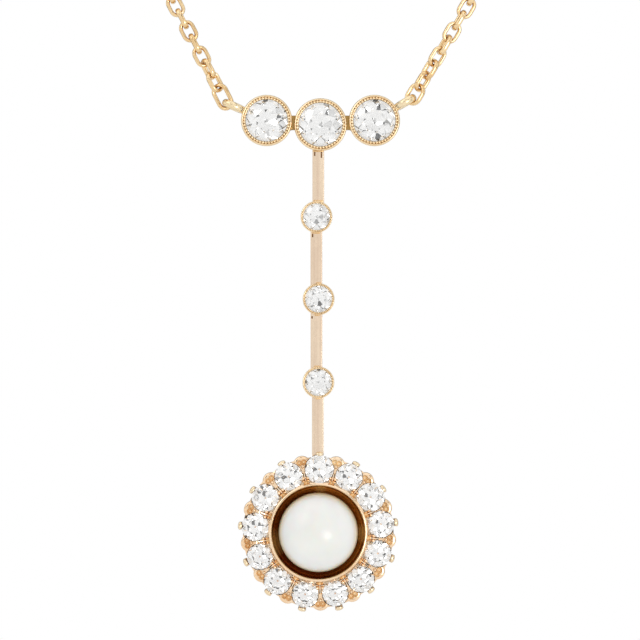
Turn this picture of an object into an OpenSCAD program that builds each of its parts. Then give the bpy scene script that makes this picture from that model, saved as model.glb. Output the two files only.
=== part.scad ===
/* [Neck loop] */
// Half width of the loop where it lies round the neck
neck_r = 53; // [50:1:56]
// Straight run of chain over each shoulder
shoulder_run = 10; // [6:1:14]
// Radius of the bend where the chain turns down the chest
shoulder_r = 28; // [24:1:32]
// Slope of the chain left of the drop, in degrees above level
left_slope = 62.6; // [61:0.1:64]
// Slope of the chain right of the drop, in degrees above level
right_slope = 59.2; // [58:0.1:61]

/* [Trace chain] */
// Thickness of the link wire
wire_d = 0.35; // [0.3:0.01:0.36]
// Inner length of a link
link_inner_l = 1.39; // [1.34:0.01:1.44]
// Inner width of a link
link_inner_w = 0.76; // [0.74:0.01:0.84]
// Clear space between two links that hold each other
link_play = 0.11; // [0.11:0.01:0.14]
// Inner length of the larger link that holds the end ring
end_link_inner_l = 1.66; // [1.62:0.01:1.74]
// Inner width of that larger link
end_link_inner_w = 0.94; // [0.93:0.01:0.97]
// Links that are made one by one on each side, from the drop up
real_links = 110; // [4:1:110]
// Width of the plain run that stands for the rest of the chain
back_run_d = 1.3; // [1:0.1:1.4]

/* [Clasp] */
// Thickness of the clasp ring
clasp_wire_d = 0.8; // [0.6:0.1:1]
// Middle radius of the small eye that takes the last link
eye_r = 0.6; // [0.58:0.01:0.64]
// Thickness of the eye
eye_wire_d = 0.5; // [0.4:0.05:0.5]

/* [Top row] */
// Outer diameter of the middle collet
mid_collet_d = 4.74; // [4.6:0.02:4.8]
// Outer diameter of the side collets
side_collet_d = 4.6; // [4.5:0.02:4.7]
// Middle to middle distance in the row
row_pitch = 4.85; // [4.8:0.01:4.9]
// Height of the side collets above the middle one
row_rise = 0.37; // [0:0.01:0.5]
// Width of the rim round a top stone, seen from the front
rim_w = 0.48; // [0.44:0.01:0.52]
// Middle radius of the end ring that takes the chain
end_ring_r = 0.8; // [0.78:0.01:0.84]
// Thickness of the end ring
end_ring_wire_d = 0.62; // [0.56:0.01:0.63]
// Slope of the left end ring
left_ring_slope = 23.6; // [20:0.1:27]
// Slope of the right end ring
right_ring_slope = 30.6; // [27:0.1:34]

/* [Bar] */
// Width of the bar
bar_w = 1.06; // [0.9:0.02:1.2]
// Thickness of the bar at its ridge
bar_t = 0.85; // [0.7:0.05:1]
// Height of the ridge above the bar's edges
bar_ridge = 0.25; // [0.1:0.05:0.4]
// Outer diameter of the small collets
small_collet_d = 2.86; // [2.8:0.02:2.9]
// Width of the rim round a small stone, seen from the front
small_rim_w = 0.27; // [0.25:0.01:0.3]

/* [Cluster] */
// Distance of the pearl's middle below the middle collet
cluster_drop = 36.7; // [36:0.1:38]
// Diameter of the pearl
pearl_d = 7.16; // [7:0.02:7.3]
// Outer diameter of the collar round the pearl
collar_d = 9.1; // [9:0.05:9.2]
// Inner diameter of the collar
well_d = 8.46; // [8.4:0.02:8.5]
// Diameter of the stones round the pearl
cluster_stone_d = 2.5; // [2.4:0.02:2.5]
// Distance of those stones from the pearl's middle
stone_ring_r = 5.7; // [5.68:0.01:5.76]
// Outward lean of those stones, in degrees
stone_lean = 8; // [4:1:10]

/* [Hidden] */
LEFT = -1;
RIGHT = 1;
STONES_ROUND = 13;

rose = [0.91, 0.71, 0.52];
yellow = [0.9, 0.74, 0.44];
ice = [0.93, 0.95, 0.97];
lustre = [0.94, 0.93, 0.9];

// The bar's stretches from the top down: how far its middle stands off the middle line, and its ends
SHIFT = 0;
FROM = 1;
TO = 2;
bar_stretches = [
    [-0.20, -2.0, -8.3],
    [-0.37, -8.3, -15.7],
    [-0.36, -15.7, -23.2],
    [-0.24, -23.2, -30.3]
];
// The small collets on the bar: sideways place and height
small_collets = [[-0.36, -8.3], [-0.17, -15.7], [-0.19, -23.2]];
cluster_at = [-0.2, -cluster_drop];
// Where each ring stone is set, in degrees clockwise from the top, as the setter spaced them
ring_angles = [1, 29, 56, 82.5, 109.5, 137.5, 164.5, 192, 220, 247.5, 275, 303, 332];

// Clear space round each set stone and round the pearl's peg
gap = 0.05;
// How far in front of the drop's own plane the ring stones and the pearl's middle stand
ring_stone_h = 0.1;
pearl_h = 1;
// Sides of the link wire, and the sides and the ring spacing of the plain back run
wire_sides = 6;
tube_sides = 8;
tube_step = 3.4;
// Fineness of wide and of thin round forms
WIDE = 72;
THIN = 36;
// How far a cut runs past the face that it opens
over = 0.5;
// How far each end ring's wire is sunk into its collet
ring_sink = 0.18;

function slope_of(side) = side == LEFT ? left_slope : right_slope;
function ring_slope_of(side) = side == LEFT ? left_ring_slope : right_ring_slope;

// The place in the drop's own plane where the chain pulls on an end ring
ring_reach = side_collet_d / 2 - ring_sink + end_ring_wire_d / 2 + 2 * end_ring_r;
function pull_x(side) = side * (row_pitch + ring_reach * cos(ring_slope_of(side)));
function pull_z(side) = row_rise + ring_reach * sin(ring_slope_of(side));
function cot(a) = cos(a) / sin(a);

// The drop hangs where two straight chains of these slopes meet it
drop_z = -(2 * neck_r + pull_x(LEFT) - pull_x(RIGHT) + pull_z(LEFT) * cot(left_slope)
    + pull_z(RIGHT) * cot(right_slope)) / (cot(left_slope) + cot(right_slope));
function fall(side) = -drop_z - pull_z(side);
drop_x = (fall(LEFT) * cot(left_slope) - fall(RIGHT) * cot(right_slope) - pull_x(LEFT) - pull_x(RIGHT)) / 2;
drop_y = -(neck_r + shoulder_run + shoulder_r);

// Lengths of the chain's stretches from the end ring to the nape
function straight_l(side) = fall(side) / sin(slope_of(side)) - shoulder_r;
quarter = PI / 2;
function bend_end(side) = straight_l(side) + shoulder_r * quarter;
function shoulder_end(side) = bend_end(side) + shoulder_run;
function nape_at(side) = shoulder_end(side) + neck_r * quarter;
function degrees(arc, radius) = arc / radius * 180 / PI;

// A place on the chain's line: its point, its direction and a direction square to it
X = [1, 0, 0];
Y = [0, 1, 0];
Z = [0, 0, 1];
function up(side) = [side * cos(slope_of(side)), 0, sin(slope_of(side))];
function line_start(side) = [pull_x(side) + drop_x, drop_y, pull_z(side) + drop_z];
function on_straight(side, s) = [line_start(side) + s * up(side), up(side), -Y];
function on_bend(side, s) = let(
    a = degrees(s - straight_l(side), shoulder_r),
    from = line_start(side) + straight_l(side) * up(side)
) [
    from + shoulder_r * (sin(a) * up(side) + (1 - cos(a)) * Y),
    cos(a) * up(side) + sin(a) * Y,
    sin(a) * up(side) - cos(a) * Y
];
function on_shoulder(side, s) = [
    [side * neck_r, -neck_r - shoulder_run + s - bend_end(side), 0], Y, up(side)
];
function on_nape(side, s) = let(
    a = degrees(s - shoulder_end(side), neck_r),
    out = side * cos(a) * X + sin(a) * Y
) [
    neck_r * out - neck_r * Y,
    cos(a) * Y - side * sin(a) * X,
    cos(slope_of(side)) * out + sin(slope_of(side)) * Z
];
function on_line(side, s) =
    s <= straight_l(side) ? on_straight(side, s)
    : s <= bend_end(side) ? on_bend(side, s)
    : s <= shoulder_end(side) ? on_shoulder(side, s)
    : on_nape(side, s);

// Where the links sit along that line, counted from 1 at the drop
pitch = link_inner_l - link_play;
first_at = end_link_inner_l / 2 - end_link_inner_w / 2;
second_at = first_at + (end_link_inner_l + link_inner_l) / 2 - link_play;
function link_at(n) = n == 1 ? first_at : second_at + (n - 2) * pitch;
// The lowest links hang twisted, and the others stand square to each other
low_turns_left = [-20, 52, 124, 198];
low_turns_right = [-22, 50, 127, 199, 275];
function low_turns(side) = side == LEFT ? low_turns_left : low_turns_right;
function turn_of(side, n) = n <= len(low_turns(side)) ? low_turns(side)[n - 1] : 90 * (n - 2);

// The last link holds the clasp's eye, with the clasp in the middle of what is left
eye_to_link = link_inner_l / 2 - eye_wire_d / 2 - link_play;
least_clasp = 3.1;
function steps_to_clasp(side) = floor((nape_at(side) - least_clasp - second_at - eye_to_link) / pitch);
function eye_at(side) = second_at + steps_to_clasp(side) * pitch + eye_to_link;
real_end = link_at(real_links) + link_inner_l / 2 + wire_d;
run_gap = 0.3;
run_from = real_end + run_gap;
function run_to(side) = eye_at(side) - eye_wire_d / 2 - run_gap;

module place(side, s, turn) {
    at = on_line(side, s);
    along = at[1];
    across = cross(at[1], at[2]);
    face = cos(turn) * at[2] + sin(turn) * across;
    wide = cross(face, along);
    multmatrix([
        [-wide[0], along[0], face[0], at[0][0]],
        [-wide[1], along[1], face[1], at[0][1]],
        [-wide[2], along[2], face[2], at[0][2]]
    ])
        children();
}

module link_end(bend_r) {
    rotate_extrude(angle = 180, $fn = THIN)
        translate([bend_r, 0]) circle(d = wire_d, $fn = wire_sides);
}

module link(inner_l, inner_w) {
    bend_r = (inner_w + wire_d) / 2;
    side_l = inner_l - inner_w;
    translate([0, side_l / 2, 0]) link_end(bend_r);
    translate([0, -side_l / 2, 0]) rotate(180) link_end(bend_r);
    for (side = [LEFT, RIGHT])
        rotate([90, 0, 0])
            linear_extrude(side_l, center = true)
                translate([side * bend_r, 0]) circle(d = wire_d, $fn = wire_sides);
}

module chain(side) {
    color(yellow) {
        place(side, link_at(1), turn_of(side, 1)) link(end_link_inner_l, end_link_inner_w);
        for (n = [2:real_links])
            place(side, link_at(n), turn_of(side, n)) link(link_inner_l, link_inner_w);
    }
}

module chain_back(side) {
    rings = ceil((run_to(side) - run_from) / tube_step) + 1;
    step = (run_to(side) - run_from) / (rings - 1);
    points = [for (i = [0:rings - 1], j = [0:tube_sides - 1])
        let(
            at = on_line(side, run_from + i * step),
            turn = 360 / tube_sides * (j + 0.5),
            across = cross(at[1], at[2])
        )
        at[0] + back_run_d / 2 * (cos(turn) * at[2] + sin(turn) * across)
    ];
    walls = [for (i = [0:rings - 2], j = [0:tube_sides - 1])
        let(a = i * tube_sides, k = (j + 1) % tube_sides)
        [a + j, a + tube_sides + j, a + tube_sides + k, a + k]
    ];
    low_end = [for (j = [0:tube_sides - 1]) j];
    high_end = [for (j = [tube_sides - 1:-1:0]) (rings - 1) * tube_sides + j];
    color(yellow) polyhedron(points, concat(walls, [low_end, high_end]));
}

module torus(r, d) {
    rotate_extrude($fn = WIDE)
        translate([r, 0]) circle(d = d, $fn = THIN);
}

// A plain ring with a small eye soldered on at each side
module clasp() {
    eye_step = 0.15;
    left_eye = on_line(LEFT, eye_at(LEFT))[0];
    right_eye = on_line(RIGHT, eye_at(RIGHT))[0];
    middle = (left_eye + right_eye) / 2;
    ring_r = (right_eye - left_eye)[0] / 2 - 2 * eye_r - eye_step;
    color(yellow) {
        translate(middle) rotate([90, 0, 0]) torus(ring_r, clasp_wire_d);
        for (side = [LEFT, RIGHT])
            place(side, eye_at(side) + eye_r, turn_of(side, steps_to_clasp(side) + 1))
                torus(eye_r, eye_wire_d);
    }
}

// The drop is drawn with x to the right, y up and z towards the viewer
module hang() {
    translate([drop_x, drop_y, drop_z]) rotate([90, 0, 0]) children();
}

// An old round cut: table, stars, kites, girdle, lower halves, pavilion mains and culet
CORNERS = 8;
table_share = 0.54;
star_share = 0.77;
lower_share = 0.5;
culet_share = 0.08;
crown_share = 0.36;
pavilion_share = 0.86;
girdle_share = 0.03;

function round_of(n, r, h, turn) = [for (i = [0:n - 1]) [r * cos(360 / n * i + turn), r * sin(360 / n * i + turn), h]];
function on_slope(r, r1, h1, r2, h2) = h1 + (h2 - h1) * (r - r1) / (r2 - r1);
function turned(face) = [for (i = [len(face) - 1:-1:0]) face[i]];

module stone(d) {
    r = d / 2;
    half = 180 / CORNERS;
    edge = girdle_share * r;
    top = edge + crown_share * r;
    tip = -edge - pavilion_share * r;
    star_r = star_share * r;
    low_r = lower_share * r;
    culet_r = culet_share * r;
    star_h = on_slope(star_r * cos(half), table_share * r, top, r, edge);
    low_h = on_slope(low_r * cos(half), r, -edge, culet_r * cos(half), tip);
    table = 0;
    star = CORNERS;
    above = 2 * CORNERS;
    below = 4 * CORNERS;
    low = 6 * CORNERS;
    culet = 7 * CORNERS;
    points = concat(
        round_of(CORNERS, table_share * r, top, 0),
        round_of(CORNERS, star_r, star_h, half),
        round_of(2 * CORNERS, r, edge, 0),
        round_of(2 * CORNERS, r, -edge, 0),
        round_of(CORNERS, low_r, low_h, half),
        round_of(CORNERS, culet_r, tip, half)
    );
    crown_faces = [for (i = [0:CORNERS - 1])
        let(next = (i + 1) % CORNERS, before = (i + CORNERS - 1) % CORNERS)
        each [
            [table + i, star + i, table + next],
            [table + i, star + before, above + 2 * i, star + i],
            [star + i, above + 2 * i, above + 2 * i + 1],
            [star + i, above + 2 * i + 1, above + 2 * next]
        ]
    ];
    girdle_faces = [for (i = [0:2 * CORNERS - 1])
        let(next = (i + 1) % (2 * CORNERS))
        [above + i, below + i, below + next, above + next]
    ];
    pavilion_faces = [for (i = [0:CORNERS - 1])
        let(next = (i + 1) % CORNERS, before = (i + CORNERS - 1) % CORNERS)
        each [
            [low + i, below + 2 * i + 1, below + 2 * i],
            [low + i, below + 2 * next, below + 2 * i + 1],
            [below + 2 * i, low + before, culet + before, culet + i, low + i]
        ]
    ];
    table_face = [for (i = [0:CORNERS - 1]) table + i];
    culet_face = [for (i = [CORNERS - 1:-1:0]) culet + i];
    faces = concat([table_face], crown_faces, girdle_faces, pavilion_faces, [culet_face]);
    color(ice) polyhedron(points, [for (f = faces) turned(f)]);
}

// No facet rises or falls more steeply than this, so a room with this slope clears the stone
facet_slope = 1;
// A stone stands under its rim, which covers a little of its edge
rim_cover = 0.08;
function stone_d(collet_d, rim) = collet_d - 2 * rim + 2 * rim_cover;
small_cover = 0.05;
small_stone_d = small_collet_d - 2 * small_rim_w + 2 * small_cover;

// A collet is a cup that narrows to the back. Its bevel and the height where it
// starts to narrow are shares of its radius, as the ledge under the stone is
collet_bevel = 0.12;
collet_waist = -0.1;
seat_share = 0.8;
back_wall = 0.26;

module collet_body(d, back_share, front, back) {
    r = d / 2;
    bevel = collet_bevel * r;
    rotate_extrude($fn = WIDE)
        polygon([
            [0, back], [back_share * r, back], [r, collet_waist * r], [r, front - bevel],
            [r - bevel, front], [0, front]
        ]);
}

// The room that a stone needs in its collet, open at both ends
module collet_room(d, rim, set_d, back_share, front, back) {
    edge = girdle_share * set_d / 2 + gap;
    room_r = set_d / 2 + gap;
    seat_r = seat_share * room_r;
    seat_h = -edge - facet_slope * (room_r - seat_r);
    lip_r = d / 2 - rim;
    lip_h = edge + facet_slope * (set_d / 2 - lip_r);
    back_r = back_share * d / 2 - back_wall;
    rotate_extrude($fn = WIDE)
        polygon([
            [0, back - over], [back_r, back - over], [back_r, back], [seat_r, seat_h],
            [room_r, -edge], [room_r, edge], [lip_r, lip_h], [lip_r, front + over], [0, front + over]
        ]);
}

// How far the collets reach to the front and to the back, and how much they narrow there
row_front = 0.34;
row_back = -1.9;
row_back_share = 0.56;
small_front = 0.22;
small_back = -1.3;
small_back_share = 0.6;
// The solder necks between the collets of the row, and how far back their middle is
solder_size = [0.9, 1.2, 0.7];
solder_h = -0.55;

module each_side() {
    for (side = [LEFT, RIGHT])
        translate([side * row_pitch, row_rise, 0]) children();
}

module each_small() {
    for (at = small_collets)
        translate([at[0], at[1], 0]) children();
}

module row_bodies() {
    collet_body(mid_collet_d, row_back_share, row_front, row_back);
    each_side() collet_body(side_collet_d, row_back_share, row_front, row_back);
    for (side = [LEFT, RIGHT])
        translate([side * row_pitch / 2, row_rise / 2, solder_h]) cube(solder_size, center = true);
}

module end_rings() {
    for (side = [LEFT, RIGHT])
        translate([side * row_pitch, row_rise, 0])
            rotate(side == LEFT ? 180 - left_ring_slope : right_ring_slope)
                translate([ring_reach - end_ring_r, 0, 0])
                    rotate([90, 0, 0]) torus(end_ring_r, end_ring_wire_d);
}

module bar_body() {
    for (b = bar_stretches)
        translate([b[SHIFT], b[FROM], 0])
            rotate([90, 0, 0])
                linear_extrude(b[FROM] - b[TO])
                    polygon([
                        [-bar_w / 2, bar_ridge - bar_t], [bar_w / 2, bar_ridge - bar_t],
                        [bar_w / 2, -bar_ridge / 2], [0, bar_ridge / 2], [-bar_w / 2, -bar_ridge / 2]
                    ]);
}

module rooms() {
    collet_room(mid_collet_d, rim_w, stone_d(mid_collet_d, rim_w), row_back_share, row_front, row_back);
    each_side()
        collet_room(side_collet_d, rim_w, stone_d(side_collet_d, rim_w), row_back_share, row_front, row_back);
    each_small()
        collet_room(small_collet_d, small_rim_w, small_stone_d, small_back_share, small_front, small_back);
}

// The collar round the pearl and the cup behind it
collar_front = 1;
collar_foot = -0.5;
collar_bevel = 0.12;
cup_waist = [4, -1.6];
cup_back_r = 3;
cup_back = -3.1;
// The hollow inside them
well_lip = 0.2;
well_foot = [well_d / 2 - 0.12, -0.4];
well_waist = [3.6, -1.5];
well_floor_r = 2.5;
well_floor = -2.75;
// The plate that the ring stones are let into
plate_in = 4.4;
plate_out = 6.9;
plate_front = -0.1;
plate_back = -0.9;
plate_edge = 0.2;
plate_back_in = 0.5;
// The plain ring behind it, where the claws start
foot_r = 5.5;
foot_h = -2.5;
foot_size = [0.6, 0.55];
// The outer claws, one behind each stone
claw_r = 0.3;
claw_tip_r = 6.98;
claw_tip_h = 0.5;
// Between the stones: a pair of beads outside and one grain next to the collar
pair_r = 6.62;
pair_turn = 3.1;
bead_r = 0.18;
bead_l = 1.15;
grain_ring_r = 4.88;
grain_r = 0.2;
grain_l = 1.1;
grain_from = plate_back + 0.2;

module at_cluster() {
    translate([cluster_at[0], cluster_at[1], 0]) children();
}

module at_ring(angle) {
    at_cluster() rotate(-angle) children();
}

module at_ring_stone(i) {
    at_ring(ring_angles[i]) translate([0, stone_ring_r, ring_stone_h]) rotate([-stone_lean, 0, 0]) children();
}

module pearl_cup() {
    rotate_extrude($fn = WIDE)
        polygon([
            [0, cup_back], [cup_back_r, cup_back], cup_waist, [collar_d / 2, collar_foot],
            [collar_d / 2, collar_front - collar_bevel], [collar_d / 2 - collar_bevel, collar_front],
            [0, collar_front]
        ]);
}

module pearl_well() {
    rotate_extrude($fn = WIDE)
        polygon([
            [0, well_floor], [well_floor_r, well_floor], well_waist, well_foot,
            [well_d / 2, well_lip], [well_d / 2, collar_front + over], [0, collar_front + over]
        ]);
}

module seat_plate() {
    rotate_extrude($fn = WIDE)
        polygon([
            [plate_in, plate_back], [plate_out - plate_back_in, plate_back],
            [plate_out, plate_front - plate_edge], [plate_out, plate_front], [plate_in, plate_front]
        ]);
}

module foot_ring() {
    rotate_extrude($fn = WIDE)
        translate([foot_r, foot_h]) square(foot_size, center = true);
}

// A round post with a blunt tip
module post(r, l) {
    tip_r = 0.6 * r;
    rotate_extrude($fn = THIN)
        polygon([[0, 0], [r, 0], [r, l - tip_r], [tip_r, l], [0, l]]);
}

module claws() {
    lean = atan2(claw_tip_r - foot_r, claw_tip_h - foot_h);
    l = norm([claw_tip_r - foot_r, claw_tip_h - foot_h]);
    for (angle = ring_angles)
        at_ring(angle) translate([0, foot_r, foot_h]) rotate([-lean, 0, 0]) post(claw_r, l);
}

function middle_angle(i) = i == STONES_ROUND - 1
    ? (ring_angles[i] + ring_angles[0] + 360) / 2 : (ring_angles[i] + ring_angles[i + 1]) / 2;

module grains() {
    for (i = [0:STONES_ROUND - 1]) {
        for (turn = [-pair_turn, pair_turn])
            at_ring(middle_angle(i) + turn) translate([0, pair_r, grain_from]) post(bead_r, bead_l);
        at_ring(middle_angle(i)) translate([0, grain_ring_r, grain_from]) post(grain_r, grain_l);
    }
}

// The room of a ring stone: below its edge a cone, above it the slope of its crown
ring_room_l = 1.25;
ring_seat_share = 0.6;

module ring_room() {
    r = cluster_stone_d / 2;
    room_r = r + gap;
    seat_r = ring_seat_share * r;
    edge = girdle_share * r + gap;
    crown_h = edge + crown_share * r;
    crown_run = (1 - table_share) * r;
    rotate_extrude($fn = WIDE)
        polygon([
            [0, -ring_room_l], [seat_r, -ring_room_l], [seat_r, -edge - facet_slope * (room_r - seat_r)],
            [room_r, -edge], [room_r, edge], [room_r - crown_run, crown_h], [0, crown_h]
        ]);
}

// The peg stands on the cup's floor and goes into the drilled pearl
peg_r = 0.4;
peg_l = 1.5;

module peg() {
    floor_gap = pearl_h - pearl_d / 2 - well_floor;
    translate([0, 0, well_floor - gap]) cylinder(r = peg_r, h = floor_gap + peg_l, $fn = THIN);
}

module gold_mount() {
    color(rose) hang() at_cluster() peg();
    color(rose) hang() difference() {
        union() {
            row_bodies();
            end_rings();
            bar_body();
            each_small() collet_body(small_collet_d, small_back_share, small_front, small_back);
            at_cluster() {
                pearl_cup();
                seat_plate();
                foot_ring();
            }
            claws();
            grains();
        }
        rooms();
        at_cluster() pearl_well();
        for (i = [0:STONES_ROUND - 1]) at_ring_stone(i) ring_room();
    }
}

module pearl() {
    color(lustre) hang() at_cluster() translate([0, 0, pearl_h])
        difference() {
            sphere(d = pearl_d, $fn = WIDE);
            translate([0, 0, -pearl_d]) cylinder(r = peg_r + gap, h = pearl_d / 2 + peg_l, $fn = THIN);
        }
}

// How far each stone is turned from the one before it, as no setter lines them up
SIDE_TURN = 11;
BAR_TURN = 14;
RING_TURN = 17;

module stone_mid() {
    hang() stone(stone_d(mid_collet_d, rim_w));
}

module stone_side(side) {
    hang() translate([side * row_pitch, row_rise, 0])
        rotate(side * SIDE_TURN) stone(stone_d(side_collet_d, rim_w));
}

module stone_bar(i) {
    hang() translate([small_collets[i][0], small_collets[i][1], 0]) rotate(i * BAR_TURN) stone(small_stone_d);
}

module stone_ring(i) {
    hang() at_ring_stone(i) rotate(i * RING_TURN) stone(cluster_stone_d);
}

gold_mount();
stone_mid();
stone_side(LEFT);  // stone_left
stone_side(RIGHT);  // stone_right
stone_bar(0);  // stone_bar_1
stone_bar(1);  // stone_bar_2
stone_bar(2);  // stone_bar_3
for (i = [1:STONES_ROUND])
    stone_ring(i - 1);
pearl();
chain(LEFT);  // chain_left
chain(RIGHT);  // chain_right
chain_back(LEFT);  // chain_back_left
chain_back(RIGHT);  // chain_back_right
clasp();
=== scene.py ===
# %% [markdown]
# A drop necklace, built piece by piece as a jeweller would make it.
# The solid model of the necklace is loaded first and stays where it is. Every piece
# made here takes the place of one of its nodes, in the same spot, with finer form and finish.

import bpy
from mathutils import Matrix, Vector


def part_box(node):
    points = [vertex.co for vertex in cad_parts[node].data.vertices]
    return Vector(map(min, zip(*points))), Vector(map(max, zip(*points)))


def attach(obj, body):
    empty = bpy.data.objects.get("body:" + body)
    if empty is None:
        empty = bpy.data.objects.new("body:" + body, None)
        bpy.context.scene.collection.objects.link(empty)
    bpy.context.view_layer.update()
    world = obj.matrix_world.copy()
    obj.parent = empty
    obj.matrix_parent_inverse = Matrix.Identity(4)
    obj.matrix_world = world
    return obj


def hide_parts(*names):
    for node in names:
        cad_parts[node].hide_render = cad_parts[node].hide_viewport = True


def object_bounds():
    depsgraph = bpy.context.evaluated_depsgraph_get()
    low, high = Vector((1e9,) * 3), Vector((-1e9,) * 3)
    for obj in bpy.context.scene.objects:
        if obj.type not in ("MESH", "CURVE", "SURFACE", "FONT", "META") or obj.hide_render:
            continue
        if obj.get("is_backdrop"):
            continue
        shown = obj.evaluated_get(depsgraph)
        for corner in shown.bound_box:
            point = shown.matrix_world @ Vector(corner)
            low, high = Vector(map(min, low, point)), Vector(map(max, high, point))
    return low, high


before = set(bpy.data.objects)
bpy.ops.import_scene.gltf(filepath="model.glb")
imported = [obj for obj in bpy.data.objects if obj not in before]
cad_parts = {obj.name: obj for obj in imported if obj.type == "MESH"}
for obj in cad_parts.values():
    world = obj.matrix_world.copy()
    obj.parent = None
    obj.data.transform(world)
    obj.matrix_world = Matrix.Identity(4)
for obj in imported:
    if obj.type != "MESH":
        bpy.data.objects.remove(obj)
cad_low, cad_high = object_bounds()
print("solid model from", tuple(cad_low), "to", tuple(cad_high))

# %% [markdown]
# A jewel is a few millimetres across, and Blender's tools like sizes near one. So each
# piece is modelled on a bench where one unit is one millimetre, and shrunk to metres
# when it is set in place. The drop is drawn lying on the bench, face up: x to the right,
# y up along the bar and z towards the viewer. The widest line of the middle stone is at
# zero, and its front lies 0.39 of its radius before that line.

# %% The bench and the place where the drop hangs
import math
import random

import bmesh
import bpy
from mathutils import Matrix, Vector

MM = 0.001
LEFT, RIGHT = -1, 1
FRONT_SHARE = 0.39


def moved(x, y, z=0):
    return Matrix.Translation((x, y, z))


def turned_by(axis, degrees):
    return Matrix.Rotation(math.radians(degrees), 4, axis)


stone_low, stone_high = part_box("stone_mid")
DROP = Vector([(low + high) / 2 for low, high in zip(stone_low, stone_high)])
DROP.y = stone_low.y + FRONT_SHARE * (stone_high.x - stone_low.x) / 2
TO_METRES = Matrix.Scale(MM, 4)
HANG = moved(*DROP) @ turned_by("X", 90) @ TO_METRES
print("the drop hangs from", tuple(round(c / MM, 2) for c in DROP), "mm")

# %% [markdown]
# Operators act on whatever is selected, so small helpers keep the selection plain:
# one piece at a time on the bench, and faces picked in code by where they are and
# which way they face.

# %% Bench helpers
def put_away():
    bpy.ops.object.select_all(action="DESELECT")


def take(piece):
    put_away()
    piece.select_set(True)
    bpy.context.view_layer.objects.active = piece
    return piece


def open_mesh():
    bpy.ops.object.mode_set(mode="EDIT")
    bpy.ops.mesh.select_mode(type="VERT")
    bpy.ops.mesh.select_all(action="SELECT")


def close_mesh():
    bpy.ops.mesh.select_all(action="SELECT")
    bpy.ops.mesh.remove_doubles(threshold=0.0005)
    bpy.ops.mesh.normals_make_consistent(inside=False)
    bpy.ops.object.mode_set(mode="OBJECT")
    return bpy.context.object


def pick_faces(test):
    mesh = bmesh.from_edit_mesh(bpy.context.object.data)
    bpy.ops.mesh.select_mode(type="FACE")
    bpy.ops.mesh.select_all(action="DESELECT")
    for face in mesh.faces:
        if test(face.calc_center_median(), face.normal):
            face.select_set(True)
    bmesh.update_edit_mesh(bpy.context.object.data)


def faces_front(at, facing):
    return facing.z > 0.9


def resize(*shares, about=(0, 0, 0)):
    bpy.ops.transform.resize(value=shares, center_override=about)


def extrude(*step):
    bpy.ops.mesh.extrude_region_move(TRANSFORM_OT_translate={"value": step})


def join(pieces, name):
    put_away()
    for piece in pieces:
        piece.select_set(True)
    bpy.context.view_layer.objects.active = pieces[0]
    bpy.ops.object.join()
    pieces[0].name = name
    return pieces[0]


def copy_of(piece, place):
    new = piece.copy()
    new.data = piece.data.copy()
    bpy.context.collection.objects.link(new)
    new.matrix_world = place
    return new


def fix_place(piece):
    take(piece)
    bpy.ops.object.transform_apply(location=True, rotation=True, scale=True)
    return piece


# %% [markdown]
# Sharp edges look like plastic, because worn metal always has a small round edge that
# catches the light. A Bevel on every edge above a given angle makes it. Where a piece
# has two finishes, the faces of the second are picked and put in its second slot.

# %% Worn edges and colours
def soften(piece, width, segments=2, angle=32):
    take(piece)
    edge = piece.modifiers.new("Worn edges", "BEVEL")
    edge.width = width
    edge.segments = segments
    edge.limit_method = "ANGLE"
    edge.angle_limit = math.radians(angle)
    bpy.ops.object.modifier_apply(modifier=edge.name)
    return piece


def painted(piece, material):
    piece.data.materials.clear()
    piece.data.materials.append(material)
    return piece


def two_toned(piece, main, second, test):
    painted(piece, main)
    piece.data.materials.append(second)
    take(piece)
    open_mesh()
    pick_faces(test)
    piece.active_material_index = 1
    bpy.ops.object.material_slot_assign()
    return close_mesh()


# %% [markdown]
# Most jeweller's forms are turned or drawn up. A turned ring starts as a circle that is
# extruded from corner to corner of its profile and closes on itself. A post starts as a
# disc that is extruded step by step, growing thinner and leaning as it goes. Strips and
# cutters start as a box of the right size.

# %% Turned rings, drawn posts and boxes
def turned(name, profile, sides=96):
    put_away()
    r, h = profile[0]
    bpy.ops.mesh.primitive_circle_add(vertices=sides, radius=r, location=(0, 0, h))
    open_mesh()
    for next_r, next_h in profile[1:] + profile[:1]:
        extrude(0, 0, next_h - h)
        resize(next_r / r, next_r / r, 1)
        r, h = next_r, next_h
    ring = close_mesh()
    ring.name = name
    return fix_place(ring)


def drawn_post(name, steps, sides=12):
    put_away()
    out, h, r = steps[0]
    bpy.ops.mesh.primitive_circle_add(
        vertices=sides, radius=r, location=(0, out, h), fill_type="NGON"
    )
    open_mesh()
    for next_out, next_h, next_r in steps[1:]:
        extrude(0, next_out - out, next_h - h)
        resize(next_r / r, next_r / r, 1, about=(0, next_out, next_h))
        out, h, r = next_out, next_h, next_r
    post = close_mesh()
    post.name = name
    return fix_place(post)


def box(name, size, place):
    put_away()
    bpy.ops.mesh.primitive_cube_add(size=1)
    open_mesh()
    resize(*size)
    block = close_mesh()
    block.name = name
    block.location = place
    return fix_place(block)


# %% [markdown]
# A material is a small tree of nodes. These helpers add a node and fill its inputs in
# one go: a value is set, and the output of another node is wired up. The patterns are
# noises on the object's own coordinates, which are metres, so their scales are large.

# %% Nodes
def plug(tree, node, inputs):
    for key, value in inputs.items():
        if isinstance(value, bpy.types.NodeSocket):
            tree.links.new(value, node.inputs[key])
        else:
            node.inputs[key].default_value = value
    return node


def add_node(tree, kind, inputs={}, **settings):
    node = tree.nodes.new(kind)
    for key, value in settings.items():
        setattr(node, key, value)
    return plug(tree, node, inputs)


def new_material(name):
    material = bpy.data.materials.new(name)
    material.use_nodes = True
    tree = material.node_tree
    place = add_node(tree, "ShaderNodeTexCoord").outputs["Object"]
    return material, tree, tree.nodes["Principled BSDF"], place


def noise(tree, place, scale, detail=3.0):
    inputs = {"Vector": place, "Scale": scale, "Detail": detail}
    return add_node(tree, "ShaderNodeTexNoise", inputs).outputs["Fac"]


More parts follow.
